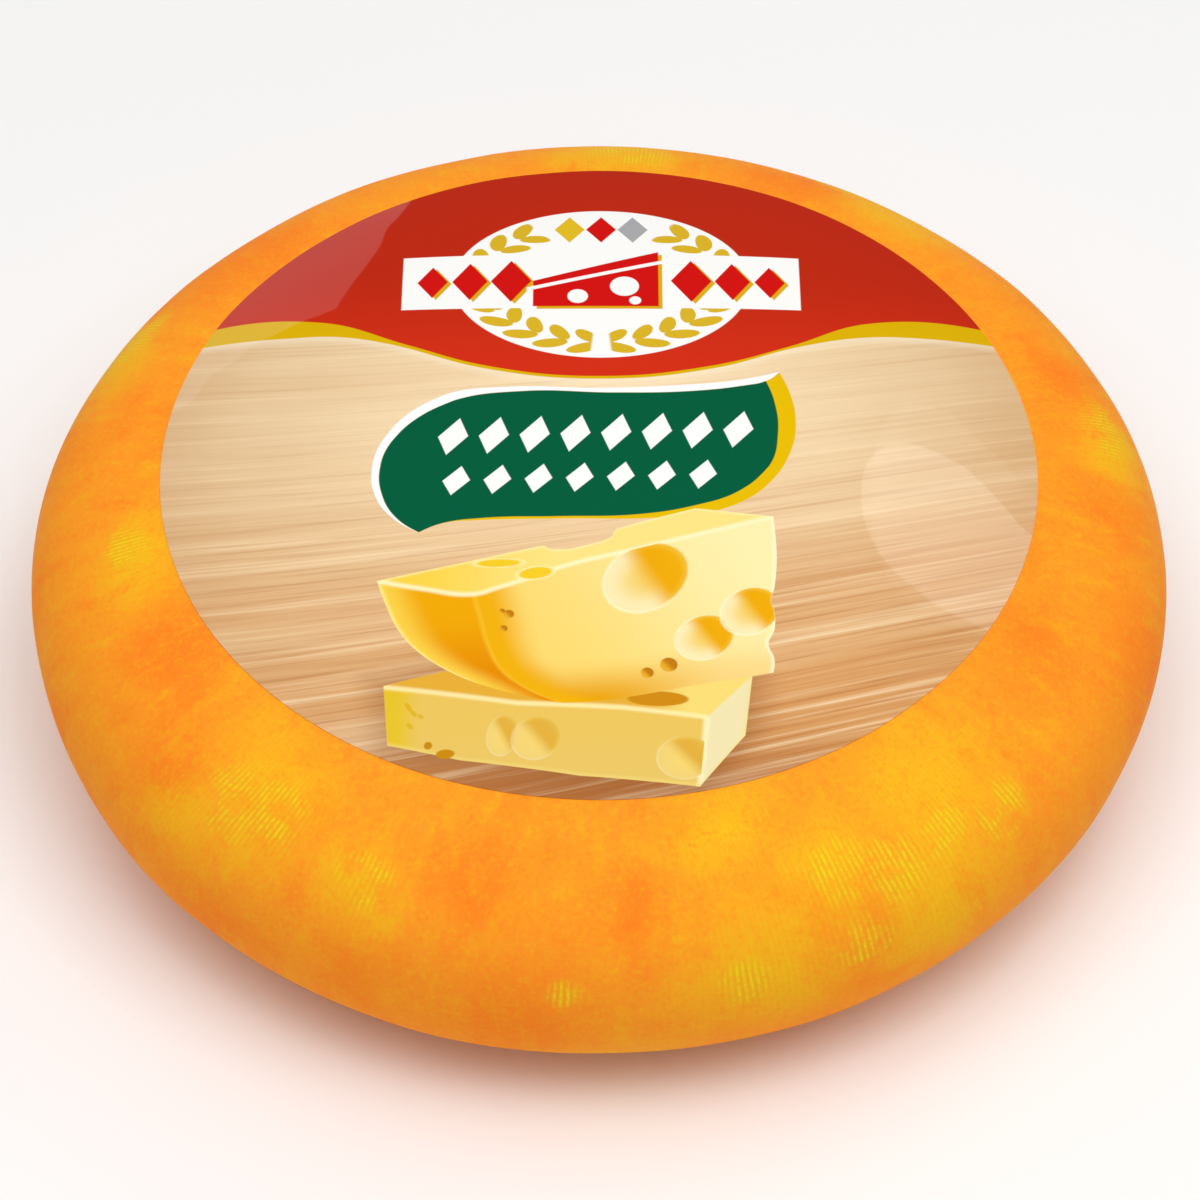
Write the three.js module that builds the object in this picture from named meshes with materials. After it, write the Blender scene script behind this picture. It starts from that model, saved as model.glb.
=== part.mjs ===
// A whole wheel of a large-holed cheese, lying flat, with a round printed label on its crown.
// Millimetres, +Z up. The origin is the centre of the flat underside.
import * as THREE from "three";

// The wheel: a disc of cheese with bulging sides, a low crown and a flat underside.
const wheelRadius = 185;
const girthHeight = 54;
const crownHeight = 57.5;
const footRadius = 130;

// How full the upper shoulder is. A power of 2 would be an ellipse, and more is squarer.
const shoulderPowerAcross = 4.1;
const shoulderPowerUp = 2.2;

// The label: one round sheet that lies on the crown and follows it.
const labelRadius = 140;
const labelThickness = 0.3;
const labelClearance = 0.3;

// How finely the round shapes are divided.
const turnSteps = 96;
const underLabelSteps = 8;
const shoulderSteps = 11;
const lowerSideSteps = 11;

// The crown's outline is a superellipse: turn 0 is its top, on the axis, and PI / 2 is the widest girth.
const topTurn = 0;
const girthTurn = Math.PI / 2;

// The turn at which the crown is a given distance from the axis.
function crownTurnAt(across) {
  return Math.asin((across / wheelRadius) ** (shoulderPowerAcross / 2));
}

// A point of the crown's outline.
function crownPoint(turn) {
  const across = wheelRadius * Math.sin(turn) ** (2 / shoulderPowerAcross);
  const up = crownHeight * Math.cos(turn) ** (2 / shoulderPowerUp);
  return new THREE.Vector2(across, girthHeight + up);
}

// The direction that points straight out of the crown at a distance from the axis.
function crownNormal(across) {
  const share = across / wheelRadius;
  const fullness = (1 - share ** shoulderPowerAcross) ** (1 / shoulderPowerUp - 1);
  const steepness = (shoulderPowerAcross / shoulderPowerUp) * share ** (shoulderPowerAcross - 1) * fullness;
  return new THREE.Vector2((crownHeight / wheelRadius) * steepness, 1).normalize();
}

// Points along the crown from one turn to another, with both ends.
function crownOutline(fromTurn, toTurn, steps) {
  const points = [];
  for (let i = 0; i <= steps; i++) {
    points.push(crownPoint(fromTurn + ((toTurn - fromTurn) * i) / steps));
  }
  return points;
}

// The stretch of the crown that the label covers, from its rim to the axis.
function coveredOutline() {
  return crownOutline(crownTurnAt(labelRadius), topTurn, underLabelSteps);
}

// The stretch of the crown that stays bare, from the girth to the label's rim.
function bareOutline() {
  return crownOutline(girthTurn, crownTurnAt(labelRadius), shoulderSteps);
}

// The side below the girth: a quarter of an ellipse, from the edge of the flat foot up to the girth.
function lowerSideOutline() {
  const points = [];
  for (let i = 0; i <= lowerSideSteps; i++) {
    const turn = (Math.PI / 2) * (i / lowerSideSteps);
    const across = footRadius + (wheelRadius - footRadius) * Math.sin(turn);
    points.push(new THREE.Vector2(across, girthHeight * (1 - Math.cos(turn))));
  }
  return points;
}

// A point of the crown moved straight out of it. The top stays on the axis.
function liftedFromCrown(point, distance) {
  return point.clone().addScaledVector(crownNormal(point.x), distance);
}

// A solid of revolution about +Z, from an outline that starts low on the axis and ends high on it.
function turnedSolid(outline, name, material) {
  const geometry = new THREE.LatheGeometry(outline, turnSteps);
  geometry.rotateX(Math.PI / 2);
  const mesh = new THREE.Mesh(geometry, material);
  mesh.name = name;
  return mesh;
}

// The wheel of cheese with its rind, one solid.
function makeCheeseWheel() {
  const rind = new THREE.MeshStandardMaterial({ color: 0xf8a232, roughness: 0.5, metalness: 0 });
  const footCentre = new THREE.Vector2(0, 0);
  const lowerSide = lowerSideOutline();
  const bareCrown = bareOutline().slice(1);
  const coveredCrown = coveredOutline().slice(1);
  return turnedSolid([footCentre, ...lowerSide, ...bareCrown, ...coveredCrown], "cheese_wheel", rind);
}

// The label, a thin sheet on the crown: its underside runs out to the rim and its face runs back.
function makeLabel() {
  const print = new THREE.MeshStandardMaterial({ color: 0xe0bb88, roughness: 0.35, metalness: 0 });
  const covered = coveredOutline();
  const underside = covered.map((point) => liftedFromCrown(point, labelClearance)).reverse();
  const face = covered.map((point) => liftedFromCrown(point, labelClearance + labelThickness));
  return turnedSolid([...underside, ...face], "label", print);
}

const cheeseWithLabel = new THREE.Group();
cheeseWithLabel.add(makeCheeseWheel(), makeLabel());

export default cheeseWithLabel;
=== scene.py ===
"""A whole wheel of a large-holed cheese with a round printed label on its crown, finished for display."""

import math

import bpy
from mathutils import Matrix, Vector


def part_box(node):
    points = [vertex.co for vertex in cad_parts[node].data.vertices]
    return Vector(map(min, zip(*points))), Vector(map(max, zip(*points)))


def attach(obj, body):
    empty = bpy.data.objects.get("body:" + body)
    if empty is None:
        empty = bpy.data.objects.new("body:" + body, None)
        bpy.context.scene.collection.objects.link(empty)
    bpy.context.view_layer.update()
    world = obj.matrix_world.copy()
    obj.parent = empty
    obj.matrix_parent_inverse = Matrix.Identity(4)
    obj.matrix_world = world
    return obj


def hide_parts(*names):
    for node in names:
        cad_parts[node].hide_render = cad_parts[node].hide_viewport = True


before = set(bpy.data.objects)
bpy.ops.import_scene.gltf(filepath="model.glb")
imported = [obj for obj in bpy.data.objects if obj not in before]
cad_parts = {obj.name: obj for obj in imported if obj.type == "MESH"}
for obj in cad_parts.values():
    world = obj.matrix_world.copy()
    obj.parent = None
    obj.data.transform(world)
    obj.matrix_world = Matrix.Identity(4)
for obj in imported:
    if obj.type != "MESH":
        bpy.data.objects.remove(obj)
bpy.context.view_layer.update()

bl_info = {
    "name": "Cheese wheel",
    "version": (1, 0, 0),
    "blender": (4, 5, 0),
    "location": "View3D > Sidebar > Cheese",
    "description": "Makes a whole cheese wheel with a coated rind, its printed label and a plain studio",
    "category": "Object",
}

MM = 0.001

# ------------------------------------------------------------------ the frame's own sizes

wheel_low, wheel_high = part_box("cheese_wheel")
_, label_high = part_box("label")
WHEEL_RADIUS = (wheel_high.x - wheel_low.x) / 2
WHEEL_HEIGHT = wheel_high.z
GIRTH_HEIGHT = 54 * MM
CROWN_HEIGHT = WHEEL_HEIGHT - GIRTH_HEIGHT
FOOT_RADIUS = 130 * MM
LABEL_RADIUS = 140 * MM
SHOULDER_POWER_ACROSS = 4.1
SHOULDER_POWER_UP = 2.2

# ------------------------------------------------------------------ how the meshes are divided

TURN_STEPS = 128
SIDE_STEPS = 13
SHOULDER_STEPS = 12
CROWN_STEPS = 9
ROUNDING_LEVELS = 2
MIDDLE_RADIUS = 2 * MM  # of the small opening that is closed last, on the crown and on the foot

# ------------------------------------------------------------------ the rind's surface

FOOT_FADE = 14 * MM  # height over which the unevenness grows from the foot
LABEL_FADE = 30 * MM  # width over which it weakens under the label
LABEL_CALM = 0.92  # share of it that is left out under the label
CLOTH_LEAN = 0.3  # how far the ridges and washes lean aside on their way down

# The rind's map shows its side as strips in two columns.
SIDE_STRIPS = 5
SIDE_ROWS = 3

# ------------------------------------------------------------------ the label's print, in label radii

PRINT_EDGE = 0.0015  # half the width of a printed edge
LEAVES = 24  # places for leaves round the whole oval
SLOPE_RIGHT, SLOPE_UP = 0.76, 0.65  # the way a printed hole is shaded, towards the upper right


def paint(code):
    """The linear colour of a paint given as six hexadecimal digits."""
    shares = [int(code[i : i + 2], 16) / 255 for i in (0, 2, 4)]
    return tuple(s / 12.92 if s <= 0.04045 else ((s + 0.055) / 1.055) ** 2.4 for s in shares)


def opaque(colour):
    """A colour with its alpha, as colour sockets take it."""
    return (*colour[:3], 1.0)


# ------------------------------------------------------------------ what a user can change


class RindSettings(bpy.types.PropertyGroup):
    """The cheese's coated rind."""

    orange: bpy.props.FloatVectorProperty(
        name="Orange", description="The coating's main colour", subtype="COLOR", default=paint("FF9B28")
    )
    yellow: bpy.props.FloatVectorProperty(
        name="Yellow", description="Where the coating is thin", subtype="COLOR", default=paint("F7BE1E")
    )
    deep: bpy.props.FloatVectorProperty(
        name="Deep orange", description="Where the coating is thick", subtype="COLOR", default=paint("FF7A22")
    )
    ridges: bpy.props.IntProperty(
        name="Cloth ridges", description="Ridges round the wheel from the pressing cloth", default=660, min=0
    )
    unevenness: bpy.props.FloatProperty(
        name="Unevenness",
        description="How far the hand-turned surface strays from round",
        default=1.4 * MM,
        subtype="DISTANCE",
        unit="LENGTH",
    )


class LabelSettings(bpy.types.PropertyGroup):
    """The printed label."""

    thickness: bpy.props.FloatProperty(
        name="Thickness",
        description="Of the printed sheet",
        default=0.2 * MM,
        subtype="DISTANCE",
        unit="LENGTH",
    )
    lift: bpy.props.FloatProperty(
        name="Lift",
        description="Of the sheet above the rind",
        default=0.1 * MM,
        subtype="DISTANCE",
        unit="LENGTH",
    )
    red: bpy.props.FloatVectorProperty(
        name="Red", description="The upper field", subtype="COLOR", default=paint("BE280E")
    )
    gold: bpy.props.FloatVectorProperty(
        name="Gold", description="The edges of the fields", subtype="COLOR", default=paint("DCB000")
    )
    green: bpy.props.FloatVectorProperty(
        name="Green", description="The banner", subtype="COLOR", default=paint("005C3C")
    )


class StageSettings(bpy.types.PropertyGroup):
    """The camera and the studio."""

    elevation: bpy.props.FloatProperty(
        name="Elevation",
        description="Of the camera",
        default=math.radians(47.32),
        subtype="ANGLE",
        unit="ROTATION",
    )
    distance: bpy.props.FloatProperty(
        name="Distance", description="From the camera to the wheel", default=8 * WHEEL_RADIUS, unit="LENGTH"
    )
    lens: bpy.props.FloatProperty(
        name="Lens", description="Focal length", default=134.5, subtype="DISTANCE_CAMERA", unit="CAMERA"
    )
    daylight: bpy.props.FloatProperty(
        name="Daylight", description="How bright the surrounding light is", default=0.4, min=0
    )


# ------------------------------------------------------------------ node sheets


class Value:
    """A number or a colour that varies over a surface. Sums and products of values add the nodes for them."""

    def __init__(self, sheet, socket):
        self.sheet = sheet
        self.socket = socket

    def __add__(self, other):
        return self.sheet.math("ADD", self, other)

    def __sub__(self, other):
        return self.sheet.math("SUBTRACT", self, other)

    def __rsub__(self, other):
        return self.sheet.math("SUBTRACT", other, self)

    def __mul__(self, other):
        return self.sheet.math("MULTIPLY", self, other)

    def __truediv__(self, other):
        return self.sheet.math("DIVIDE", self, other)


class Sheet:
    """A node tree with short calls that add nodes to it and join them."""

    def __init__(self, tree):
        self.tree = tree

    def join(self, value, socket):
        """Feeds a socket with a value, or sets it."""
        if isinstance(value, Value):
            self.tree.links.new(value.socket, socket)
        else:
            socket.default_value = value

    def node(self, kind, settings=None, output=0, **inputs):
        """Adds a node. An input's name has _ for each space."""
        made = self.tree.nodes.new("ShaderNode" + kind)
        for name, setting in (settings or {}).items():
            setattr(made, name, setting)
        for name, value in inputs.items():
            self.join(value, made.inputs[name.replace("_", " ")])
        return Value(self, made.outputs[output])

    def math(self, operation, *values):
        """Adds a Math node."""
        made = self.tree.nodes.new("ShaderNodeMath")
        made.operation = operation
        for socket, value in zip(made.inputs, values):
            self.join(value, socket)
        return Value(self, made.outputs[0])

    def vector_math(self, operation, *values, output="Vector"):
        """Adds a Vector Math node."""
        made = self.tree.nodes.new("ShaderNodeVectorMath")
        made.operation = operation
        for socket, value in zip(made.inputs, values):
            self.join(value, socket)
        return Value(self, made.outputs[output])

    def vector(self, x, y, z):
        """One vector from three numbers."""
        return self.node("CombineXYZ", X=x, Y=y, Z=z)

    def parts(self, vector):
        """The three numbers of a vector."""
        made = self.tree.nodes.new("ShaderNodeSeparateXYZ")
        self.join(vector, made.inputs[0])
        return tuple(Value(self, socket) for socket in made.outputs)

    def ramp(self, value, start, end, low=0.0, high=1.0):
        """Runs smoothly from low to high as a value goes from start to end."""
        return self.node(
            "MapRange",
            {"interpolation_type": "SMOOTHSTEP"},
            Value=value,
            From_Min=start,
            From_Max=end,
            To_Min=low,
            To_Max=high,
        )

    def curve(self, value, points, corners=()):
        """A smooth curve through points of (value, result). Points numbered in corners are sharp."""
        made = self.tree.nodes.new("ShaderNodeFloatCurve")
        self.join(value, made.inputs["Value"])
        mapping = made.mapping
        mapping.use_clip = False
        line = mapping.curves[0]
        while len(line.points) < len(points):
            line.points.new(0.5, 0.5)
        for i, (at, result) in enumerate(points):
            line.points[i].location = (at, result)
            line.points[i].handle_type = "VECTOR" if i in corners else "AUTO"
        mapping.update()
        return Value(self, made.outputs[0])

    def noise(self, vector, size, detail=2.0, roughness=0.5, output="Fac"):
        """Cloudy noise from 0 to 1. Size is the width of its clouds, in the vector's own units."""
        return self.node(
            "TexNoise",
            output=output,
            Vector=vector,
            Scale=1 / size,
            Detail=detail,
            Roughness=roughness,
        )

    def over(self, under, mask, colour):
        """Lays a colour over another where the mask is 1."""
        made = self.tree.nodes.new("ShaderNodeMix")
        made.data_type = "RGBA"
        self.join(mask, made.inputs[0])
        self.join(under if isinstance(under, Value) else opaque(under), made.inputs[6])
        self.join(colour if isinstance(colour, Value) else opaque(colour), made.inputs[7])
        return Value(self, made.outputs[2])

    def use(self, group, inputs):
        """Places a node group and gives its outputs by name."""
        made = self.tree.nodes.new("ShaderNodeGroup")
        made.node_tree = group
        for name, value in inputs.items():
            self.join(value, made.inputs[name])
        return {socket.name: Value(self, socket) for socket in made.outputs}


def node_group(name, inputs, outputs, draw):
    """A shader node group of numbers. draw gets its sheet and its inputs by name, and returns its outputs."""
    tree = bpy.data.node_groups.new(name, "ShaderNodeTree")
    for way, labels in (("INPUT", inputs), ("OUTPUT", outputs)):
        for label in labels:
            tree.interface.new_socket(label, in_out=way, socket_type="NodeSocketFloat")
    sheet = Sheet(tree)
    entry = tree.nodes.new("NodeGroupInput")
    given = {socket.name: Value(sheet, socket) for socket in entry.outputs if socket.name}
    results = draw(sheet, given)
    way_out = tree.nodes.new("NodeGroupOutput")
    for value, socket in zip(results, way_out.inputs):
        sheet.join(value, socket)


def new_material(name):
    """A material with its sheet and its Principled shader."""
    material = bpy.data.materials.new(name)
    material.use_nodes = True
    shader = material.node_tree.nodes["Principled BSDF"]
    return material, Sheet(material.node_tree), shader


# ------------------------------------------------------------------ modelling helpers


def select_nothing():
    """Leaves no object selected."""
    bpy.ops.object.select_all(action="DESELECT")


def select_only(piece):
    """Selects one piece and makes it the active one."""
    select_nothing()
    piece.select_set(True)
    bpy.context.view_layer.objects.active = piece


def turned(name, outline, steps):
    """Extrudes one point along an outline of (across, up) and spins the line round the upright axis."""
    select_nothing()
    start = Vector((outline[0][0], 0.0, outline[0][1]))
    bpy.ops.mesh.primitive_plane_add(size=1 * MM, location=start)
    piece = bpy.context.object
    piece.name = name
    bpy.ops.object.transform_apply(location=True, rotation=True, scale=True)
    bpy.ops.object.mode_set(mode="EDIT")
    bpy.ops.mesh.select_mode(type="VERT")
    bpy.ops.mesh.select_all(action="SELECT")
    bpy.ops.mesh.merge(type="CENTER")
    for (across, up), (next_across, next_up) in zip(outline, outline[1:]):
        step = (next_across - across, 0.0, next_up - up)
        bpy.ops.mesh.extrude_vertices_move(TRANSFORM_OT_translate={"value": step})
    bpy.ops.mesh.select_all(action="SELECT")
    bpy.ops.mesh.spin(steps=steps, angle=2 * math.pi, center=(0, 0, 0), axis=(0, 0, 1))
    bpy.ops.mesh.select_all(action="SELECT")
    bpy.ops.mesh.remove_doubles(threshold=0.001 * MM)
    bpy.ops.mesh.normals_make_consistent(inside=False)
    bpy.ops.object.mode_set(mode="OBJECT")
    return piece


def close_middle(piece, upper):
    """Closes the small round opening at the middle of a turned piece's upper or lower side."""
    heights = [vertex.co.z for vertex in piece.data.vertices]
    halfway = (min(heights) + max(heights)) / 2
    select_only(piece)
    bpy.ops.object.mode_set(mode="EDIT")
    bpy.ops.mesh.select_all(action="DESELECT")
    bpy.ops.object.mode_set(mode="OBJECT")
    for vertex in piece.data.vertices:
        in_middle = math.hypot(vertex.co.x, vertex.co.y) < MIDDLE_RADIUS * 1.01
        on_side = vertex.co.z > halfway - 1 * MM if upper else vertex.co.z < halfway
        vertex.select = in_middle and on_side
    bpy.ops.object.mode_set(mode="EDIT")
    bpy.ops.mesh.extrude_edges_move(TRANSFORM_OT_translate={"value": (0, 0, 0)})
    bpy.ops.mesh.merge(type="CENTER")
    bpy.ops.mesh.select_all(action="SELECT")
    bpy.ops.mesh.normals_make_consistent(inside=False)
    bpy.ops.object.mode_set(mode="OBJECT")


def apply_modifier(piece, name):
    """Applies one modifier of a piece."""
    select_only(piece)
    bpy.ops.object.modifier_apply(modifier=name)


def subdivide(piece, levels):
    """Rounds a piece with a subdivision surface."""
    modifier = piece.modifiers.new("rounded", "SUBSURF")
    modifier.levels = levels
    modifier.render_levels = levels
    apply_modifier(piece, modifier.name)


def lay_out(piece, spot):
    """Gives a piece its map for finishes. spot places a corner, given its face's middle and normal."""
    layer = piece.data.uv_layers.new(name="OFBake")
    vertices, loops = piece.data.vertices, piece.data.loops
    for face in piece.data.polygons:
        middle = face.center.copy()
        for index in face.loop_indices:
            layer.data[index].uv = spot(middle, face.normal, vertices[loops[index].vertex_index].co)


def shade(piece, degrees):
    """Shades a piece smooth, with sharp edges past an angle."""
    select_only(piece)
    bpy.ops.object.shade_smooth_by_angle(angle=math.radians(degrees))


# ------------------------------------------------------------------ the wheel


def crown_point(turn):
    """A point of the crown's outline: turn 0 is the top and a quarter turn is the widest girth."""
    across = WHEEL_RADIUS * math.sin(turn) ** (2 / SHOULDER_POWER_ACROSS)
    up = CROWN_HEIGHT * max(math.cos(turn), 0.0) ** (2 / SHOULDER_POWER_UP)
    return across, GIRTH_HEIGHT + up


def crown_turn(across):
    """The turn at which the crown is a given distance from the axis."""
    return math.asin((across / WHEEL_RADIUS) ** (SHOULDER_POWER_ACROSS / 2))


def between(start, end, steps):
    """Evenly spaced numbers from start to end, with both ends."""
    return [start + (end - start) * i / steps for i in range(steps + 1)]


def wheel_outline():
    """The wheel's outline from the middle of its foot round to the top of its crown."""
    foot = [(MIDDLE_RADIUS, 0.0)] + [(share * FOOT_RADIUS, 0.0) for share in (0.4, 0.8, 0.96)]
    side = []
    for turn in between(0.0, math.pi / 2, SIDE_STEPS):
        across = FOOT_RADIUS + (WHEEL_RADIUS - FOOT_RADIUS) * math.sin(turn)
        side.append((across, GIRTH_HEIGHT * (1 - math.cos(turn))))
    turns = between(math.pi / 2, crown_turn(LABEL_RADIUS), SHOULDER_STEPS)
    turns += [crown_turn(across) for across in between(LABEL_RADIUS, MIDDLE_RADIUS, CROWN_STEPS)[1:]]
    return foot + side + [crown_point(turn) for turn in turns[1:]]


def free_surface(piece):
    """A vertex group that is full on the free rind, weak under the label and empty on the foot."""
    group = piece.vertex_groups.new(name="free_surface")
    for vertex in piece.data.vertices:
        across = math.hypot(vertex.co.x, vertex.co.y)
        rise = min(max((vertex.co.z - 1 * MM) / FOOT_FADE, 0.0), 1.0)
        weight = rise * rise * (3 - 2 * rise)
        under_label = min(max((LABEL_RADIUS - across) / LABEL_FADE, 0.0), 1.0)
        if vertex.co.z > GIRTH_HEIGHT:
            weight *= 1 - LABEL_CALM * under_label
        group.add([vertex.index], weight, "REPLACE")
    return group.name


def make_uneven(piece, size, depth, group):
    """Moves the surface in and out by cloudy noise of a size."""
    clouds = bpy.data.textures.new("clouds", "CLOUDS")
    clouds.noise_scale = size
    clouds.noise_depth = 1
    modifier = piece.modifiers.new("uneven", "DISPLACE")
    modifier.texture = clouds
    modifier.texture_coords = "LOCAL"
    modifier.vertex_group = group
    modifier.strength = depth
    apply_modifier(piece, modifier.name)


class CHEESE_OT_rind(bpy.types.Operator):
    """Makes the cheese with its coated rind"""

    bl_idname = "cheese.rind"
    bl_label = "Cheese with rind"

    def execute(self, context):
        settings = context.scene.cheese_rind
        piece = turned("cheese_rind", wheel_outline(), TURN_STEPS)
        subdivide(piece, ROUNDING_LEVELS)
        close_middle(piece, upper=True)
        close_middle(piece, upper=False)
        group = free_surface(piece)
        make_uneven(piece, 70 * MM, settings.unevenness, group)
        make_uneven(piece, 22 * MM, settings.unevenness * 0.18, group)
        lay_out(piece, rind_spot)
        shade(piece, 60)
        piece.data.materials.append(rind_material(settings))
        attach(piece, "root")
        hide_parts("cheese_wheel")
        return {"FINISHED"}


def round_spot(corner, radius, centre, size):
    """A corner's place in a round patch of a map, seen from above."""
    return centre[0] + size * corner.x / radius, centre[1] + size * corner.y / radius


def rind_spot(middle, normal, corner):
    """A corner's place on the rind's map: strips of the side, the foot, and a small disc under the label."""
    hidden_radius = LABEL_RADIUS - 6 * MM
    foot_limit = 0.8 * MM
    if middle.z > GIRTH_HEIGHT and math.hypot(middle.x, middle.y) < hidden_radius:
        return round_spot(corner, LABEL_RADIUS, (0.95, 0.05), 0.045)
    if middle.z < foot_limit:
        return round_spot(corner, FOOT_RADIUS, (0.72, 0.17), 0.16)
    share = 2 * math.pi / SIDE_STRIPS
    strip = int((math.atan2(middle.y, middle.x) + math.pi) / share) % SIDE_STRIPS
    strip_middle = -math.pi + (strip + 0.5) * share
    turn = (math.atan2(corner.y, corner.x) - strip_middle + math.pi) % (2 * math.pi) - math.pi
    # The way up a strip is an angle, seen from a ring inside the wheel. It spans 2.4 about -0.12.
    ring_radius = FOOT_RADIUS - 20 * MM
    rise = math.atan2(corner.z - GIRTH_HEIGHT, math.hypot(corner.x, corner.y) - ring_radius)
    column, row = strip % 2, strip // 2
    along = 0.5 * column + 0.25 + 0.48 * turn / share
    up = 1 - (row + 0.5) / SIDE_ROWS + 0.32 * (rise + 0.12) / 2.4
    return along, up


def rind_place(bearing, down):
    """A point of the rind: bearing in degrees from the front, and millimetres down from the label's rim."""
    outline = wheel_outline()
    outline = outline[: len(outline) - CROWN_STEPS]
    outline.reverse()
    left = down * MM
    for (across, up), (next_across, next_up) in zip(outline, outline[1:]):
        step = math.hypot(next_across - across, next_up - up)
        if left <= step:
            across += (next_across - across) * left / step
            up += (next_up - up) * left / step
            break
        left -= step
    turn = math.radians(bearing)
    return across * math.sin(turn), -across * math.cos(turn), up


# Places on the rind: bearing from the front in degrees, and millimetres down from the label and across.
THIN_PLACES = (
    (-38, 26, 34),
    (-25, 38, 24),
    (24, 36, 34),
    (38, 26, 40),
    (-75, 10, 30),
    (-112, 34, 30),
    (97, 34, 28),
    (14, 12, 26),
    (16, 58, 42),
    (34, 56, 44),
    (-46, 46, 24),
    (178, 18, 40),
    (142, 30, 34),
    (-150, 66, 34),
    (118, 70, 36),
)
THICK_PLACES = (
    (-60, 12, 34),
    (-50, 34, 26),
    (-132, 18, 46),
    (72, 60, 46),
    (-8, 74, 38),
    (-12, 28, 26),
    (4, 36, 24),
    (62, 14, 30),
    (108, 22, 26),
    (156, 16, 30),
    (-40, 84, 30),
    (86, 30, 26),
    (-165, 70, 44),
)
# Patches where the cloth ridges show and carry a painted highlight on their crests.
RIDGES_AND_GLINT_PLACES = (
    (-41, 34, 18),
    (-36, 29, 18),
    (-24, 36, 15),
    (25, 34, 18),
    (31, 40, 18),
    (37, 36, 15),
    (44, 42, 15),
    (14, 62, 15),
    (26, 60, 15),
    (-3, 62, 8),
    (-78, 14, 13),
    (100, 32, 20),
    (-116, 36, 20),
    (150, 40, 24),
    (176, 20, 20),
)


def places_mask(sheet, point, places):
    """1 within any of some round places on the rind, fading to 0 at their edges."""
    mask = None
    for bearing, down, size in places:
        away = sheet.vector_math("DISTANCE", point, rind_place(bearing, down), output="Value")
        near = sheet.ramp(away, size * MM, 0.0)
        mask = near if mask is None else sheet.math("MAXIMUM", mask, near)
    return mask


def rind_material(settings):
    """The coated rind: orange, mottled from yellow to deep orange, with ridges from the pressing cloth that
    carry painted glints.
    """
    material, sheet, shader = new_material("coated_rind")
    place = sheet.node("TexCoord", output="Object")
    x, y, z = sheet.parts(place)
    wander = sheet.noise(place, 26 * MM, detail=3.0, roughness=0.55, output="Color")
    wander = sheet.vector_math("SUBTRACT", wander, (0.5, 0.5, 0.5))
    stained = sheet.vector_math("ADD", place, sheet.vector_math("MULTIPLY", wander, (30 * MM,) * 3))
    drifted = sheet.vector_math("ADD", place, sheet.vector_math("MULTIPLY", wander, (10.5 * MM,) * 3))

    clouds = sheet.noise(stained, 52 * MM, detail=2.0)
    thin = places_mask(sheet, stained, THIN_PLACES)
    thin = sheet.math("MAXIMUM", thin, sheet.ramp(clouds, 0.56, 0.8) * 0.6)
    colour = sheet.over(settings.orange, thin * 0.8, settings.yellow)
    thick = places_mask(sheet, stained, THICK_PLACES)
    thick = sheet.math("MAXIMUM", thick, sheet.ramp(clouds, 0.44, 0.22) * 0.7)
    colour = sheet.over(colour, thick * 0.65, settings.deep)

    # Washes of the coating, some centimetres wide and longer down the side, and its felt-like grain.
    across = sheet.math("SQRT", x * x + y * y)
    to_right = x / across
    down = (across - z) * (0.78 / WHEEL_RADIUS)
    bearing = sheet.math("ARCTAN2", x, y * -1.0) - to_right * down * CLOTH_LEAN
    around = sheet.vector(sheet.math("SINE", bearing), sheet.math("COSINE", bearing), down * 0.45)
    washes = sheet.noise(around, 0.045, detail=4.0, roughness=0.66)
    colour = sheet.over(colour, sheet.ramp(washes, 0.5, 0.76, 0.0, 0.4), settings.yellow)
    colour = sheet.over(colour, sheet.ramp(washes, 0.5, 0.24, 0.0, 0.4), settings.deep)
    felt = sheet.noise(place, 1.7 * MM, detail=4.0, roughness=0.75)
    colour = sheet.over(colour, sheet.ramp(felt, 0.5, 0.72, 0.0, 0.45), settings.yellow)
    colour = sheet.over(colour, sheet.ramp(felt, 0.5, 0.28, 0.0, 0.4), settings.deep)

    # The pressing cloth's ridges show in patches, and faintly where the coating is thin. The patches' yellow
    # and the crests' pale yellow are painted highlights, and the hollows' darker orange is painted shade; the
    # ridges' bump is real relief.
    waver = sheet.noise(place, 30 * MM, detail=3.0) * 9.0
    wave = sheet.math("SINE", bearing * float(settings.ridges) + waver)
    patches = sheet.noise(place, 9 * MM, detail=3.0)
    ridges_and_glint = sheet.ramp(places_mask(sheet, drifted, RIDGES_AND_GLINT_PLACES), 0.0, 0.8)
    ridges_and_glint = ridges_and_glint * sheet.ramp(patches, 0.36, 0.58)
    # Painted highlight: the ridged patches turn yellow.
    colour = sheet.over(colour, ridges_and_glint * 0.35, paint("EBC322"))
    ridges_and_glint = sheet.math("MAXIMUM", ridges_and_glint, thin * 0.18)
    # Painted glint on the ridges' crests.
    glinting_crests = ridges_and_glint * sheet.ramp(wave, -0.3, 0.9) * sheet.ramp(felt, 0.38, 0.58, 0.15, 1.0)
    colour = sheet.over(colour, glinting_crests * 0.75, paint("F6DC22"))
    # Painted shade in the hollows between the ridges.
    colour = sheet.over(colour, ridges_and_glint * sheet.ramp(wave, -0.2, -1.0, 0.0, 0.22), paint("EE9A14"))
    sheet.join(colour, shader.inputs["Base Color"])

    relief = wave * (ridges_and_glint * 0.9 + 0.08) * 0.08 + felt * 0.3
    bump = sheet.node("Bump", Strength=0.5, Distance=0.6 * MM, Height=relief)
    sheet.join(bump, shader.inputs["Normal"])
    sheet.join(sheet.ramp(clouds, 0.2, 0.8, 0.55, 0.42), shader.inputs["Roughness"])
    shader.inputs["Specular IOR Level"].default_value = 0.01
    return material


# ------------------------------------------------------------------ the label


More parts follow.
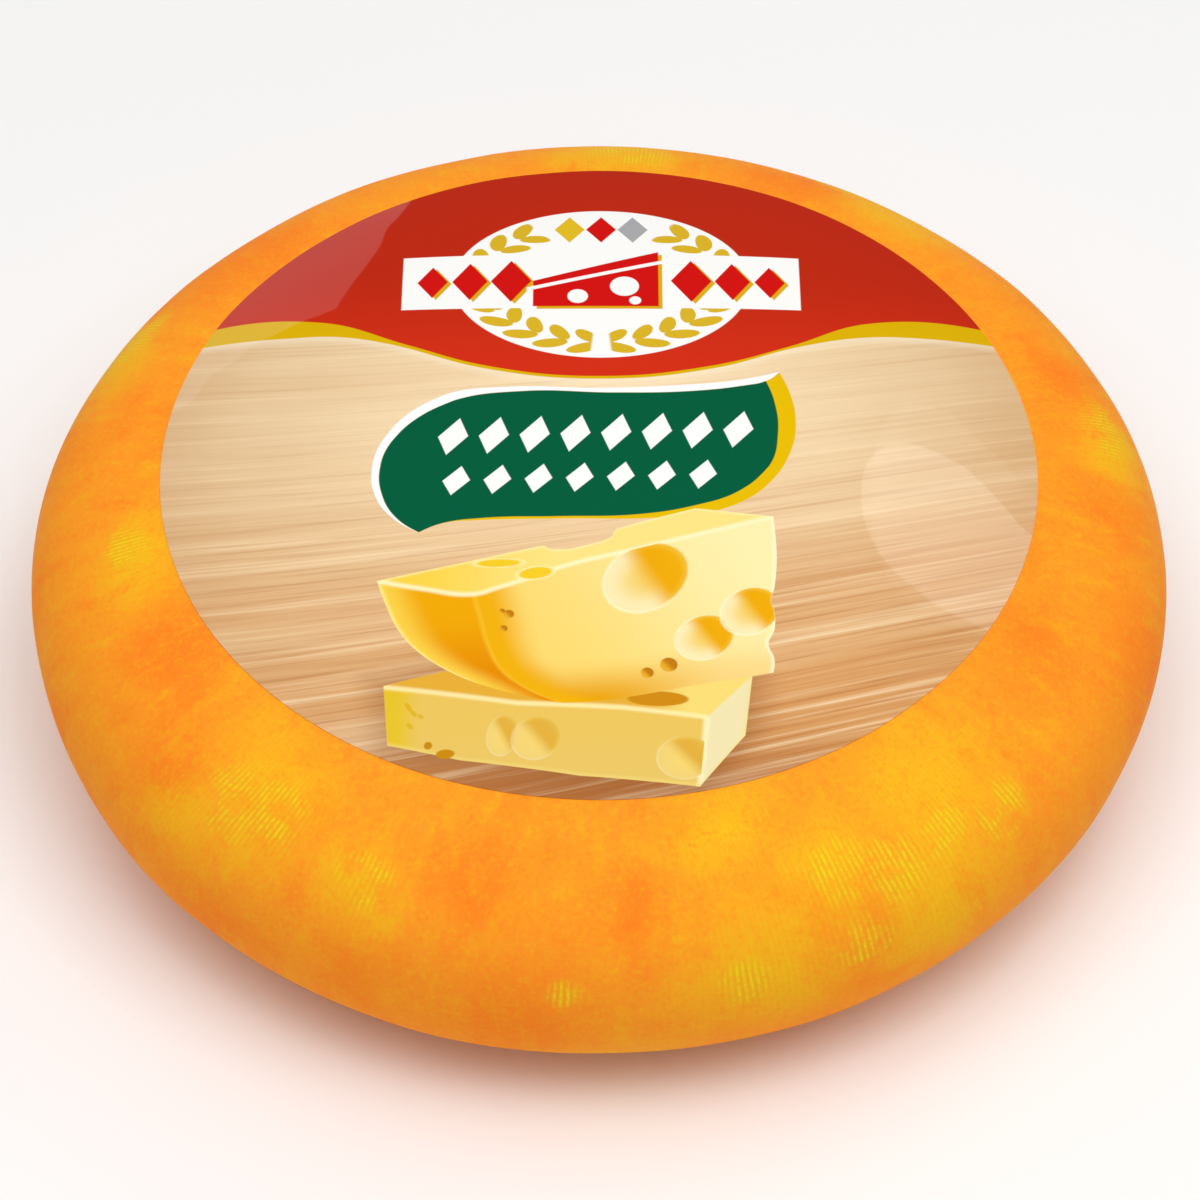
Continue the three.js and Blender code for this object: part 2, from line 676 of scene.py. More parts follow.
def label_spot(middle, normal, corner):
    """A corner's place on the label's map: the print fills it, and its back and rim take a corner each."""
    if normal.z > 0.5:
        return round_spot(corner, LABEL_RADIUS, (0.5, 0.5), 0.496)
    if normal.z < -0.5:
        return round_spot(corner, LABEL_RADIUS, (0.06, 0.06), 0.055)
    swell = 1 + (corner.z - middle.z) * 20
    return round_spot(corner, LABEL_RADIUS, (0.94, 0.06), 0.05 * swell)


def label_outline():
    """The flat sheet's outline, from its middle to its rim, laid level above the crown."""
    level = label_high.z + 5 * MM
    return [(across, level) for across in between(MIDDLE_RADIUS, LABEL_RADIUS, CROWN_STEPS)]


class CHEESE_OT_label(bpy.types.Operator):
    """Makes the round printed label that lies on the crown"""

    bl_idname = "cheese.label"
    bl_label = "Printed label"

    def execute(self, context):
        settings = context.scene.cheese_label
        piece = turned("round_label", label_outline(), TURN_STEPS)
        subdivide(piece, ROUNDING_LEVELS)
        close_middle(piece, upper=True)
        laid = piece.modifiers.new("laid", "SHRINKWRAP")
        laid.target = bpy.data.objects["cheese_rind"]
        laid.wrap_method = "PROJECT"
        laid.use_project_z = True
        laid.use_negative_direction = True
        laid.use_positive_direction = False
        laid.offset = settings.lift
        apply_modifier(piece, laid.name)
        sheet = piece.modifiers.new("sheet", "SOLIDIFY")
        sheet.thickness = settings.thickness
        sheet.offset = 1.0
        apply_modifier(piece, sheet.name)
        lay_out(piece, label_spot)
        shade(piece, 40)
        piece.data.materials.append(label_material(settings))
        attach(piece, "root")
        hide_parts("label")
        return {"FINISHED"}


class Drawing:
    """Printed shapes laid over each other. Points are (right, up) in label radii from the label's middle."""

    def __init__(self, sheet, place):
        self.sheet = sheet
        x, y, z = sheet.parts(place)
        self.u = x / LABEL_RADIUS
        self.v = y / LABEL_RADIUS
        self.colour = None

    def below(self, points, sharp=False):
        """How far a place is below a line that runs to the right."""
        corners = range(len(points)) if sharp else ()
        return self.sheet.curve(self.u, points, corners) - self.v

    def above(self, points, sharp=False):
        """How far a place is above a line that runs to the right."""
        corners = range(len(points)) if sharp else ()
        return self.v - self.sheet.curve(self.u, points, corners)

    def left_of(self, points):
        """How far a place is to the left of a line that runs up."""
        swapped = sorted((v, u) for u, v in points)
        return self.sheet.curve(self.v, swapped) - self.u

    def right_of(self, points):
        """How far a place is to the right of a line that runs up."""
        swapped = sorted((v, u) for u, v in points)
        return self.u - self.sheet.curve(self.v, swapped)

    def inside(self, *distances):
        """How far a place is inside all the edges of a shape."""
        nearest = distances[0]
        for distance in distances[1:]:
            nearest = self.sheet.math("MINIMUM", nearest, distance)
        return nearest

    def lay(self, distance, colour, share=1.0, soft=PRINT_EDGE):
        """Prints a colour where a place is inside a shape."""
        self.mix(self.sheet.ramp(distance, -soft, soft, 0.0, share), colour)

    def mix(self, mask, colour):
        """Prints a colour as strongly as a mask says."""
        self.colour = self.sheet.over(self.colour, mask, colour)

    def within(self, distance):
        """1 where a place is inside a shape and 0 outside it."""
        return self.sheet.ramp(distance, -PRINT_EDGE, PRINT_EDGE)

    def along(self, distance, width, core=0.0):
        """1 on an edge, fading to 0 at a width from it. The core is how near it is still 1."""
        return self.sheet.ramp(self.sheet.math("ABSOLUTE", distance), width, core)

    def oval(self, right, up, width, height, lean=0.0):
        """How far a place is inside an oval of a half width and a half height."""
        given = {"Right": self.u, "Up": self.v, "Middle right": right, "Middle up": up}
        given.update({"Half width": width, "Half height": height, "Lean": lean})
        return self.sheet.use(bpy.data.node_groups["Printed oval"], given)

    def lozenge(self, right, up, width, height):
        """How far a place is inside an upright lozenge of a half width and a half height."""
        across = self.sheet.math("ABSOLUTE", self.u - right) * (1 / width)
        along = self.sheet.math("ABSOLUTE", self.v - up) * (1 / height)
        return (1.0 - (across + along)) * min(width, height)


def make_printed_oval_group():
    """An oval in label radii: how far inside it, how far from its middle, and how far up to the right."""

    def draw(sheet, given):
        along = given["Up"] - given["Middle up"]
        across = given["Right"] - given["Middle right"] - given["Lean"] * along
        q = along / given["Half height"]
        p = across / given["Half width"]
        away = sheet.math("SQRT", p * p + q * q)
        inside = (1.0 - away) * given["Half height"]
        return [inside, away, p * SLOPE_RIGHT + q * SLOPE_UP]

    inputs = ("Right", "Up", "Middle right", "Middle up", "Half width", "Half height", "Lean")
    node_group("Printed oval", inputs, ("Inside", "Away", "Slope"), draw)


# The label's fields and its banner.
RED_EDGE = ((-1, 0.429), (-0.65, 0.419), (-0.44, 0.325), (-0.26, 0.254), (0, 0.219))
RED_EDGE += ((0.26, 0.254), (0.44, 0.321), (0.63, 0.413), (1, 0.436))
GOLD_EDGE = ((-1, 0.378), (-0.735, 0.371), (-0.61, 0.364), (-0.5, 0.336), (-0.26, 0.244), (0, 0.21))
GOLD_EDGE += ((0.26, 0.244), (0.47, 0.323), (0.61, 0.361), (0.77, 0.377), (1, 0.389))
BANNER_TOP = ((-0.49, 0.018), (-0.438, 0.096), (-0.35, 0.161), (-0.21, 0.184), (0, 0.18))
BANNER_TOP += ((0.175, 0.189), (0.315, 0.206), (0.417, 0.236))
BANNER_LEFT = ((-0.402, -0.275), (-0.464, -0.228), (-0.504, -0.158), (-0.513, -0.07))
BANNER_LEFT += ((-0.49, 0.018), (-0.438, 0.096), (-0.35, 0.161))
GREEN_TOP = ((-0.472, 0.009), (-0.42, 0.079), (-0.333, 0.14), (-0.175, 0.17), (0.035, 0.165))
GREEN_TOP += ((0.21, 0.17), (0.333, 0.189), (0.385, 0.205), (0.417, 0.236))
GREEN_LEFT = ((-0.402, -0.275), (-0.455, -0.228), (-0.488, -0.158), (-0.495, -0.07))
GREEN_LEFT += ((-0.472, 0.009), (-0.42, 0.079), (-0.333, 0.14))
GREEN_RIGHT = ((0.21, -0.21), (0.315, -0.149), (0.385, -0.07), (0.408, 0.035), (0.402, 0.14), (0.384, 0.206))
GREEN_BOTTOM = ((-0.402, -0.275), (-0.35, -0.248), (-0.262, -0.233), (-0.088, -0.228))
GREEN_BOTTOM += ((0.088, -0.222), (0.21, -0.196), (0.315, -0.149), (0.385, -0.07))
GOLD_RIGHT = ((0.298, -0.205), (0.385, -0.123), (0.437, -0.018), (0.45, 0.07), (0.441, 0.158), (0.415, 0.238))
GOLD_BOTTOM = ((-0.402, -0.275), (-0.35, -0.249), (-0.262, -0.24), (-0.1, -0.236))
GOLD_BOTTOM += ((0.175, -0.228), (0.298, -0.196), (0.385, -0.123), (0.437, -0.018))

# The printed cheese: a wedge that stands on a slab.
SLAB_BACK = ((-0.467, -0.707), (-0.333, -0.675), (0.3, -0.66), (0.333, -0.688))
SLAB_FRONT_TOP = ((-0.467, -0.71), (-0.175, -0.764), (0.05, -0.777), (0.233, -0.799))
SLAB_RIGHT_TOP = ((0.233, -0.799), (0.333, -0.688))
SLAB_BOTTOM = ((-0.455, -0.855), (-0.298, -0.901), (-0.041, -0.945), (0.216, -0.9655), (0.315, -0.84))
SLAB_LEFT = ((-0.467, -0.71), (-0.455, -0.855))
SLAB_RIGHT = ((0.333, -0.688), (0.315, -0.84))
SLAB_CORNER = ((0.233, -0.799), (0.216, -0.9655))
WEDGE_TOP = ((-0.49, -0.417), (-0.309, -0.37), (-0.216, -0.344), (-0.125, -0.318), (-0.105, -0.33))
WEDGE_TOP += ((-0.064, -0.328), (0.006, -0.306), (0.03, -0.292), (0.036, -0.268), (0.105, -0.242))
WEDGE_TOP += ((0.216, -0.204), (0.39, -0.2275))
WEDGE_RIGHT = ((0.39, -0.2275), (0.387, -0.44), (0.378, -0.475), (0.385, -0.51), (0.384, -0.56))
WEDGE_RIGHT += ((0.37, -0.6), (0.382, -0.64), (0.379, -0.677))
WEDGE_LEFT = ((-0.49, -0.417), (-0.472, -0.478), (-0.432, -0.572), (-0.379, -0.636), (-0.315, -0.683))
WEDGE_BOTTOM = ((-0.379, -0.636), (-0.315, -0.683), (-0.245, -0.718), (-0.158, -0.747), (-0.088, -0.764))
WEDGE_BOTTOM += ((-0.058, -0.765), (0.064, -0.75), (0.193, -0.72), (0.338, -0.688), (0.379, -0.677))
WEDGE_RIDGE = ((-0.49, -0.417), (-0.39, -0.443), (-0.277, -0.461), (-0.216, -0.44), (-0.146, -0.411))
WEDGE_RIDGE += ((-0.076, -0.379), (0.076, -0.33), (0.39, -0.2275))
WEDGE_CORNER = ((-0.277, -0.461), (-0.262, -0.525), (-0.245, -0.6), (-0.216, -0.67))
WEDGE_CORNER += ((-0.169, -0.718), (-0.088, -0.762))

# Holes in the printed cheese: the middle, the half width and half height, and the lean of the larger ones.
SLAB_HOLES = ((-0.207, -0.844, 0.032, 0.047, 0.1), (-0.134, -0.852, 0.05, 0.05, 0.1))
SLAB_HOLES += ((0.187, -0.898, 0.058, 0.048, 0.1),)
SLAB_PITS = ((-0.3675, -0.8625, 0.009, 0.009), (-0.33, -0.885, 0.02, 0.011))
WEDGE_HOLES = ((0.106, -0.411, 0.087, 0.098, 0.22), (0.2315, -0.5845, 0.06, 0.06, 0.2))
WEDGE_HOLES += ((0.333, -0.5075, 0.061, 0.065, 0.2),)
WEDGE_HOLLOWS = ((-0.222, -0.37, 0.055, 0.013), (-0.14, -0.4, 0.04, 0.02))
# Smaller marks: the middle and half height of a slit, and the middle and radius of a pit.
SLAB_SLITS = ((-0.412, -0.765, 0.012), (-0.4, -0.782, 0.008), (-0.385, -0.79, 0.006))
SLAB_SLITS += ((-0.408, -0.812, 0.008),)
WEDGE_PITS = ((0.152, -0.6625, 0.019), (0.105, -0.685, 0.014))
WEDGE_PITS += ((-0.198, -0.52, 0.012), (-0.213, -0.511, 0.007), (-0.209, -0.561, 0.009))

# The ornament's lozenges: how far from its middle, the half width and the half height.
OVAL_LOZENGES = ((0.212, 0.048, 0.074), (0.309, 0.042, 0.066), (0.397, 0.036, 0.056))
# The holes of its wedge: the middle and the radius.
ORNAMENT_HOLES = ((-0.05, 0.49, 0.024), (0.06, 0.525, 0.034), (0.085, 0.475, 0.014))
# The banner's rows: the left end, the count, the height, and a lozenge's half width and half height.
BANNER_ROWS = ((-0.375, 8, 0.035, 0.034, 0.058), (-0.365, 7, -0.105, 0.031, 0.045))
BANNER_PITCH = 0.092


def draw_wood(drawing):
    """The pale table top: long grain that bends up to the right, stronger towards the lower rim."""
    sheet, u, v = drawing.sheet, drawing.u, drawing.v
    square = u * u + v * v
    edge = sheet.math("SQRT", square)
    line = v - square * square * 0.06 - u * (u * 0.045 - v * 0.12 + 0.154)
    low = sheet.ramp(v, 0.15, -0.85) * sheet.ramp(u, -0.9, 0.4, 0.7, 1.0)
    drawing.colour = sheet.over(paint("E4C498"), sheet.ramp(edge, 1.0, 0.15), paint("F9DFB4"))
    drawing.mix(low * 0.9, paint("DB9C5C"))
    drawing.mix(sheet.ramp(edge, 0.8, 1.02, 0.0, 0.25), paint("CC9058"))
    drawing.mix(sheet.ramp(u, 0.5, 1.0) * sheet.ramp(v, 0.3, 0.0) * 0.35, paint("D2A068"))
    drawing.mix(sheet.ramp(v, -0.76, -1.0, 0.0, 0.8), paint("A45A24"))
    bands = sheet.noise(sheet.vector(u * 0.4, line * 6.0, 3.0), 1.0, detail=2.0, roughness=0.5)
    drawing.mix(sheet.ramp(bands, 0.5, 0.78, 0.0, 0.5) * (low * 0.7 + 0.3), paint("D0925A"))
    drawing.mix(sheet.ramp(bands, 0.5, 0.25, 0.0, 0.4), paint("F8DEB4"))
    lines = sheet.noise(sheet.vector(u * 0.8, line * 40.0, 7.0), 1.0, detail=3.0, roughness=0.65)
    drawing.mix(sheet.ramp(lines, 0.5, 0.74, 0.0, 0.6) * (low * 0.75 + 0.25), paint("BE7C42"))
    drawing.mix(sheet.ramp(lines, 0.5, 0.28, 0.0, 0.65) * (low * 0.5 + 0.5), paint("FFE4B8"))
    fine = sheet.noise(sheet.vector(u * 2.0, line * 120.0, 11.0), 1.0, detail=2.0)
    drawing.mix(sheet.ramp(fine, 0.5, 0.72, 0.0, 0.5) * (low * 0.8 + 0.2), paint("AE6830"))


def draw_fields(drawing, settings):
    """The red upper field over its gold edge."""
    sheet = drawing.sheet
    drawing.lay(drawing.above(GOLD_EDGE) + 0.012, paint("FFF3D8"), 0.5, soft=0.02)
    drawing.lay(drawing.above(GOLD_EDGE), settings.gold)
    red = sheet.over(settings.red, sheet.ramp(drawing.v, 0.6, 0.2), paint("D42E14"))
    drawing.lay(drawing.above(RED_EDGE), red)


def draw_medallion(drawing):
    """A plain white oval with gold leaves, crossed by a band with a red wedge of cheese and lozenges."""
    sheet = drawing.sheet
    gold, red, white = paint("DDAA14"), paint("D2100C"), paint("FBFAF6")
    right, up, width, height = 0.005, 0.545, 0.35, 0.265
    from_middle = sheet.math("ABSOLUTE", drawing.u - right)
    oval = drawing.oval(right, up, width, height)
    drawing.lay(oval["Inside"], white)
    turn = sheet.math("ARCTAN2", from_middle * (1 / width), (drawing.v - up) * (-1 / height))
    cell = sheet.math("FRACT", turn * (LEAVES / (2 * math.pi))) - 0.5
    leafy = sheet.ramp(turn, 0.06, 0.09) * sheet.ramp(turn, 2.62, 2.58)
    for row, lean in ((0.88, 0.1), (0.73, -0.1)):
        bend = (oval["Away"] - row - cell * lean) * 15.0
        leaf = 1.0 - (cell * cell * 4.2 + bend * bend)
        drawing.mix(sheet.ramp(leaf, 0.0, 0.2) * leafy, paint("D9B226"))
    for at, ink in ((-0.075, paint("E2BC22")), (0.0, red), (0.075, paint("A9A9AC"))):
        drawing.lay(drawing.lozenge(right + at, up + 0.19, 0.036, 0.05), ink)
    band = drawing.inside(0.468 - from_middle, 0.096 - sheet.math("ABSOLUTE", drawing.v - up))
    drawing.lay(band, white)
    for shift, ink in ((0.009, gold), (0.0, red)):
        for side in (-1, 1):
            for away, half, rise in OVAL_LOZENGES:
                shape = drawing.lozenge(right + shift + side * away, up - shift * 0.8, half, rise)
                drawing.lay(shape, ink)
        start, end, low = -0.155 + shift, 0.14 + shift, 0.455 - shift
        top = drawing.below(((start, 0.545 - shift), (end, 0.65 - shift)), True)
        drawing.lay(drawing.inside(top, drawing.v - low, drawing.u - start, end - drawing.u), ink)
    line = 0.006 - sheet.math("ABSOLUTE", drawing.below(((-0.155, 0.52), (0.14, 0.61)), True))
    drawing.lay(drawing.inside(line, drawing.u + 0.17, 0.16 - drawing.u), white)
    for at, above, size in ORNAMENT_HOLES:
        drawing.lay(drawing.oval(at, above, size, size)["Inside"], white)


def draw_banner(drawing, settings):
    """The green banner with its white and gold edges and two rows of plain ornament."""
    sheet = drawing.sheet
    gold_low = drawing.above(GOLD_BOTTOM)
    gold_right = drawing.left_of(GOLD_RIGHT)
    white = drawing.inside(drawing.below(BANNER_TOP), drawing.right_of(BANNER_LEFT), gold_low, gold_right)
    drawing.lay(white, paint("FDFDFB"))
    green_top = drawing.below(GREEN_TOP)
    green_left = drawing.right_of(GREEN_LEFT)
    drawing.lay(drawing.inside(green_top, green_left, gold_low, gold_right), paint("E8BC00"))
    green_edges = green_top, green_left, drawing.above(GREEN_BOTTOM), drawing.left_of(GREEN_RIGHT)
    drawing.lay(drawing.inside(*green_edges), settings.green)
    for start, count, up, width, height in BANNER_ROWS:
        leaned = drawing.u - (drawing.v - up) * 0.25 - start
        cell = (sheet.math("FRACT", leaned * (1 / BANNER_PITCH)) - 0.5) * BANNER_PITCH
        across = sheet.math("ABSOLUTE", cell) * (1 / width)
        along = sheet.math("ABSOLUTE", drawing.v - up - drawing.u * 0.035) * (1 / height)
        shape = (1.0 - (across + along)) * width
        drawing.lay(drawing.inside(shape, leaned, count * BANNER_PITCH - leaned), paint("FBFBF8"))


def draw_hole(drawing, right, up, width, height, lean, limit, pale, gold, lip_share=0.7):
    """A hole in the printed cheese: golden on its far side, pale on the near one, with a pale lip."""
    sheet = drawing.sheet
    hole = drawing.oval(right, up, width, height, lean)
    near = sheet.ramp(hole["Slope"], 0.5, -0.6)
    lip = drawing.along(hole["Away"] - 1.06, 0.09)
    within = sheet.ramp(hole["Away"], 1.05, 0.97)
    cut = drawing.within(limit)
    drawing.mix(lip * near * cut * lip_share, paint("FFF9D2"))
    drawing.mix(within * cut, sheet.over(paint("F4D270"), sheet.ramp(hole["Away"], 0.2, 1.0), pale))
    far = sheet.ramp(hole["Slope"], -0.35, 0.3) * within * cut
    drawing.mix(far, gold)
    shade = sheet.ramp(sheet.math("ABSOLUTE", hole["Slope"] - 0.4), 0.65, 0.0, 0.0, 0.3)
    drawing.mix(shade * far, paint("E89C00"))
    drawing.mix(sheet.ramp(hole["Away"], 0.8, 1.0, 0.0, 0.25) * far, paint("F8D860"))


def draw_slab(drawing):
    """The slab of cheese that lies on the table, and its shadow."""
    sheet, u, v = drawing.sheet, drawing.u, drawing.v
    right, bottom = drawing.left_of(SLAB_RIGHT), drawing.above(SLAB_BOTTOM, True)
    whole = drawing.inside(drawing.below(SLAB_BACK, True), right, bottom, drawing.right_of(SLAB_LEFT))
    drawing.lay(whole + 0.02, paint("8E5226"), 0.55, soft=0.07)
    drawing.lay(whole, paint("F6DA74"))
    body = drawing.within(whole)
    wedge_shadow = sheet.ramp(v + sheet.math("ABSOLUTE", u + 0.06) * 0.12, -0.83, -0.74)
    wedge_shadow = wedge_shadow * sheet.ramp(u, 0.2, 0.08)
    drawing.mix(body * wedge_shadow * 0.85, paint("E2A21C"))
    front_top = drawing.below(SLAB_FRONT_TOP, True)
    front = drawing.inside(front_top, drawing.left_of(SLAB_CORNER))
    side = drawing.inside(drawing.below(SLAB_RIGHT_TOP, True), drawing.right_of(SLAB_CORNER))
    drawing.mix(body * drawing.within(side), paint("F0E2AE"))
    face = sheet.over(paint("EAC35C"), sheet.ramp(v, -0.8, -0.95), paint("E8C464"))
    face = sheet.over(face, sheet.ramp(u, -0.38, -0.44), paint("E6C22C"))
    drawing.mix(body * drawing.within(front), face)
    edge = drawing.along(front_top, 0.011, 0.001) * sheet.ramp(u, 0.24, 0.23)
    drawing.mix(body * edge * 0.8, paint("FFF0AE"))
    corner = drawing.along(drawing.left_of(SLAB_CORNER), 0.012) * sheet.ramp(front_top, -0.005, 0.005)
    drawing.mix(body * corner * 0.8, paint("FFF3C0"))
    rim = sheet.ramp(drawing.inside(bottom, right), 0.012, 0.0)
    drawing.mix(body * rim * 0.5, paint("F4DC80"))
    pale, gold = paint("EFD074"), paint("DFB548")
    for hole in SLAB_HOLES:
        draw_hole(drawing, *hole, front, pale, gold, 0.3)
    hollow = drawing.oval(0.128, -0.754, 0.066, 0.019)
    drawing.lay(hollow["Inside"], paint("CF8A12"))
    for pit in SLAB_PITS:
        drawing.lay(drawing.oval(*pit)["Inside"], paint("C98A0C"))
    for right, up, height in SLAB_SLITS:
        drawing.lay(drawing.oval(right, up, 0.006, height, -0.5)["Inside"], paint("DDB01C"), 0.8)


def draw_wedge(drawing):
    """The wedge of cheese on the slab: its top, its rind and its cut face with holes."""
    sheet, u, v = drawing.sheet, drawing.u, drawing.v
    bottom, right = drawing.above(WEDGE_BOTTOM), drawing.left_of(WEDGE_RIGHT)
    left = drawing.right_of(WEDGE_LEFT)
    whole = drawing.inside(drawing.below(WEDGE_TOP, True), bottom, right, left)
    body = drawing.within(whole)
    ridge = drawing.below(WEDGE_RIDGE)
    corner = drawing.right_of(WEDGE_CORNER)

    cut = sheet.over(paint("FAD870"), sheet.ramp(u + v * 0.6, -0.5, 0.2), paint("FEEEAE"))
    low = sheet.ramp(bottom, 0.12, 0.0) * sheet.ramp(u, 0.28, -0.02, 0.3, 1.0)
    cut = sheet.over(cut, low, paint("E8A204"))
    cut = sheet.over(cut, sheet.ramp(corner, 0.125, 0.03), paint("F0B00A"))
    drawing.mix(body, cut)
    rind = sheet.over(paint("EFA802"), sheet.ramp(v, -0.5, -0.7), paint("E68C00"))
    rind = sheet.over(rind, sheet.ramp(left, 0.09, 0.0), paint("F8D048"))
    rind = sheet.over(rind, sheet.ramp(left, 0.012, 0.0), paint("FDE88A"))
    on_rind = sheet.ramp(corner, PRINT_EDGE, -PRINT_EDGE) * sheet.ramp(v, -0.765, -0.755)
    drawing.mix(body * on_rind, rind)
    drawing.mix(body * drawing.along(corner, 0.01) * 0.4, paint("FBCB38"))
    top = sheet.over(paint("F8D348"), sheet.ramp(u, -0.42, -0.05), paint("FDE284"))
    drawing.mix(body * sheet.ramp(ridge, PRINT_EDGE, -PRINT_EDGE), top)
    drawing.mix(body * drawing.along(ridge, 0.012, 0.001) * 0.85, paint("FFF7C4"))
    drawing.mix(body * sheet.ramp(right, 0.012, 0.0) * 0.8, paint("FFF8D2"))
    back = sheet.ramp(drawing.below(WEDGE_TOP, True), 0.01, 0.0)
    drawing.mix(body * back * 0.6, paint("FFF4B4"))

    pale, gold = paint("FCEAB4"), paint("F0B008")
    for hole in WEDGE_HOLES:
        draw_hole(drawing, *hole, drawing.inside(whole, ridge), pale, gold)
    for hollow_place in WEDGE_HOLLOWS:
        hollow = drawing.oval(*hollow_place, 0.6)
        drawing.mix(body * sheet.ramp(hollow["Away"], 1.25, 0.9) * 0.8, paint("FFF2AC"))
        drawing.mix(body * sheet.ramp(hollow["Away"], 1.0, 0.75), paint("F6CB28"))
    for right, up, size in WEDGE_PITS:
        pit = drawing.oval(right, up, size, size)
        brown = sheet.over(paint("C27A10"), sheet.ramp(pit["Slope"], 0.3, -0.7), paint("E8AC28"))
        drawing.lay(pit["Inside"], brown)


def label_material(settings):
    """The label's print under a clear gloss."""
    material, sheet, shader = new_material("label_print")
    make_printed_oval_group()
    place = sheet.node("TexCoord", output="Object")
    drawing = Drawing(sheet, place)
    draw_wood(drawing)
    draw_fields(drawing, settings)
    draw_medallion(drawing)
    draw_banner(drawing, settings)
    draw_slab(drawing)
    draw_wedge(drawing)
    sheet.join(drawing.colour, shader.inputs["Base Color"])
    fibres = sheet.noise(place, 0.9 * MM, detail=2.0)
    sheet.join(sheet.ramp(fibres, 0.3, 0.7, 0.42, 0.5), shader.inputs["Roughness"])
    shader.inputs["Specular IOR Level"].default_value = 0.0
    shader.inputs["Coat Weight"].default_value = 1.0
    shader.inputs["Coat Roughness"].default_value = 0.025
    return material


# ------------------------------------------------------------------ the studio


def point_at(thing, target):
    """Turns a camera or a light towards a point."""
    thing.rotation_euler = (target - thing.location).to_track_quat("-Z", "Y").to_euler()


def softbox(name, bearing, elevation, distance, size, power, target, shines=True, roll=0.0):
    """An area light at a bearing from the front, in degrees, aimed at the wheel and rolled about its aim."""
    turn, rise = math.radians(bearing), math.radians(elevation)
    data = bpy.data.lights.new(name, "AREA")
    data.shape = "RECTANGLE"
    data.size, data.size_y = size
    data.energy = power
    light = bpy.data.objects.new(name, data)
    away = Vector((math.sin(turn) * math.cos(rise), -math.cos(turn) * math.cos(rise), math.sin(rise)))
    light.location = target + distance * away
    point_at(light, target)
    light.rotation_euler.rotate_axis("Z", math.radians(roll))
    light.visible_camera = False
    light.visible_glossy = shines
    bpy.context.scene.collection.objects.link(light)
    return light


class CHEESE_OT_studio(bpy.types.Operator):
    """Makes the floor, the lights and the camera"""

    bl_idname = "cheese.studio"
    bl_label = "Studio"

    def execute(self, context):
        settings = context.scene.cheese_stage
        select_nothing()
        bpy.ops.mesh.primitive_plane_add(size=12.0, location=(0, 0, 0))
        floor = context.object
        floor.name = "floor"
        floor.data.materials.append(floor_material())

        # The camera and the lights aim a little below the girth.
        target = Vector((0.0018 * WHEEL_RADIUS, 0.0, GIRTH_HEIGHT - 0.0845 * WHEEL_RADIUS))
        camera = bpy.data.objects.new("camera", bpy.data.cameras.new("camera"))
        camera.data.lens = settings.lens
        camera.data.sensor_width = 36.0
        camera.data.clip_end = 50.0
        rise = settings.elevation
        camera.location = target + settings.distance * Vector((0, -math.cos(rise), math.sin(rise)))
        point_at(camera, target)
        context.scene.collection.objects.link(camera)
        context.scene.camera = camera

        softbox("key", -40, 66, 1.7, (0.9, 0.9), 5, target, shines=False)
        softbox("fill", 42, 64, 1.7, (0.9, 0.9), 8, target, shines=False)
        softbox("top", 0, 88, 3.0, (2.6, 2.6), 26, target, shines=False)
        softbox("window", 208.3, 17, 1.9, (1.1, 0.94), 1.95, target, roll=-16)
        for name, elevation, height, power in (("lamp", 47.5, 0.4, 1.5), ("lamp_glow", 45.5, 0.62, 0.7)):
            lamp = softbox(name, 142.2, elevation, 2.0, (1.12, height), power, target, roll=5)
            lamp.data.shape = "ELLIPSE"
        studio_world(settings.daylight)
        context.scene.view_settings.view_transform = "Standard"
        return {"FINISHED"}


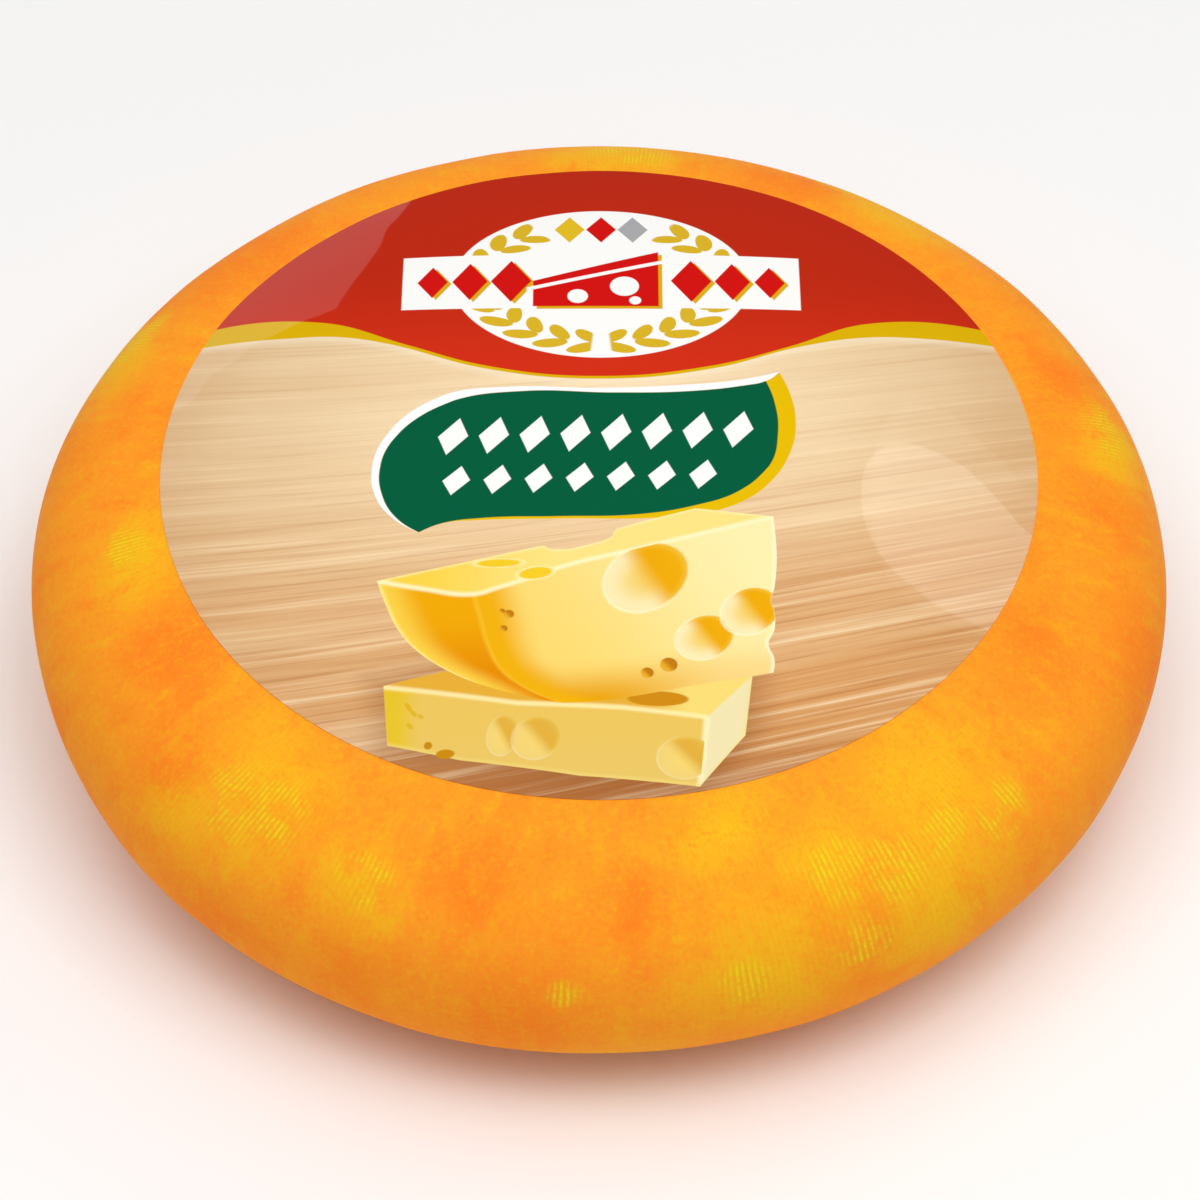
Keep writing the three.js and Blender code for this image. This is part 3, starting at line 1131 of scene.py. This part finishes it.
def floor_material():
    """The pale floor."""
    material, sheet, shader = new_material("pale_floor")
    place = sheet.node("TexCoord", output="Object")
    clouds = sheet.noise(place, 0.8, detail=2.0)
    sheet.join(sheet.over(paint("F7F7F6"), clouds, paint("FAFAFA")), shader.inputs["Base Color"])
    shader.inputs["Roughness"].default_value = 0.7
    shader.inputs["Specular IOR Level"].default_value = 0.2
    return material


def studio_world(strength):
    """Even, pale light from all round. The camera sees it brighter, and reflections see it darker."""
    world = bpy.data.worlds.new("studio")
    world.use_nodes = True
    bpy.context.scene.world = world
    sheet = Sheet(world.node_tree)
    background = world.node_tree.nodes["Background"]
    background.inputs["Color"].default_value = (1, 1, 1, 1)
    seen_strength = 0.8
    mirrored_share = 0.15
    mirrored = sheet.node("LightPath", output="Is Glossy Ray")
    seen = sheet.node("LightPath", output="Is Camera Ray")
    light = strength - mirrored * (strength * (1 - mirrored_share)) + seen * (seen_strength - strength)
    sheet.join(light, background.inputs["Strength"])


# ------------------------------------------------------------------ the add-on's panel and its start


class CHEESE_PT_panel(bpy.types.Panel):
    """Lists the cheese wheel's pieces"""

    bl_label = "Cheese wheel"
    bl_idname = "CHEESE_PT_panel"
    bl_space_type = "VIEW_3D"
    bl_region_type = "UI"
    bl_category = "Cheese"

    def draw(self, context):
        for operator in (CHEESE_OT_rind, CHEESE_OT_label, CHEESE_OT_studio):
            self.layout.operator(operator.bl_idname)


CLASSES = (
    RindSettings,
    LabelSettings,
    StageSettings,
    CHEESE_OT_rind,
    CHEESE_OT_label,
    CHEESE_OT_studio,
    CHEESE_PT_panel,
)


def register():
    """Adds the classes and the settings."""
    for each in CLASSES:
        bpy.utils.register_class(each)
    bpy.types.Scene.cheese_rind = bpy.props.PointerProperty(type=RindSettings)
    bpy.types.Scene.cheese_label = bpy.props.PointerProperty(type=LabelSettings)
    bpy.types.Scene.cheese_stage = bpy.props.PointerProperty(type=StageSettings)


def unregister():
    """Takes the classes and the settings away."""
    del bpy.types.Scene.cheese_stage
    del bpy.types.Scene.cheese_label
    del bpy.types.Scene.cheese_rind
    for each in reversed(CLASSES):
        bpy.utils.unregister_class(each)


def main():
    """Makes the whole scene."""
    register()
    bpy.ops.cheese.rind()
    bpy.ops.cheese.label()
    bpy.ops.cheese.studio()


if __name__ == "__main__":
    main()
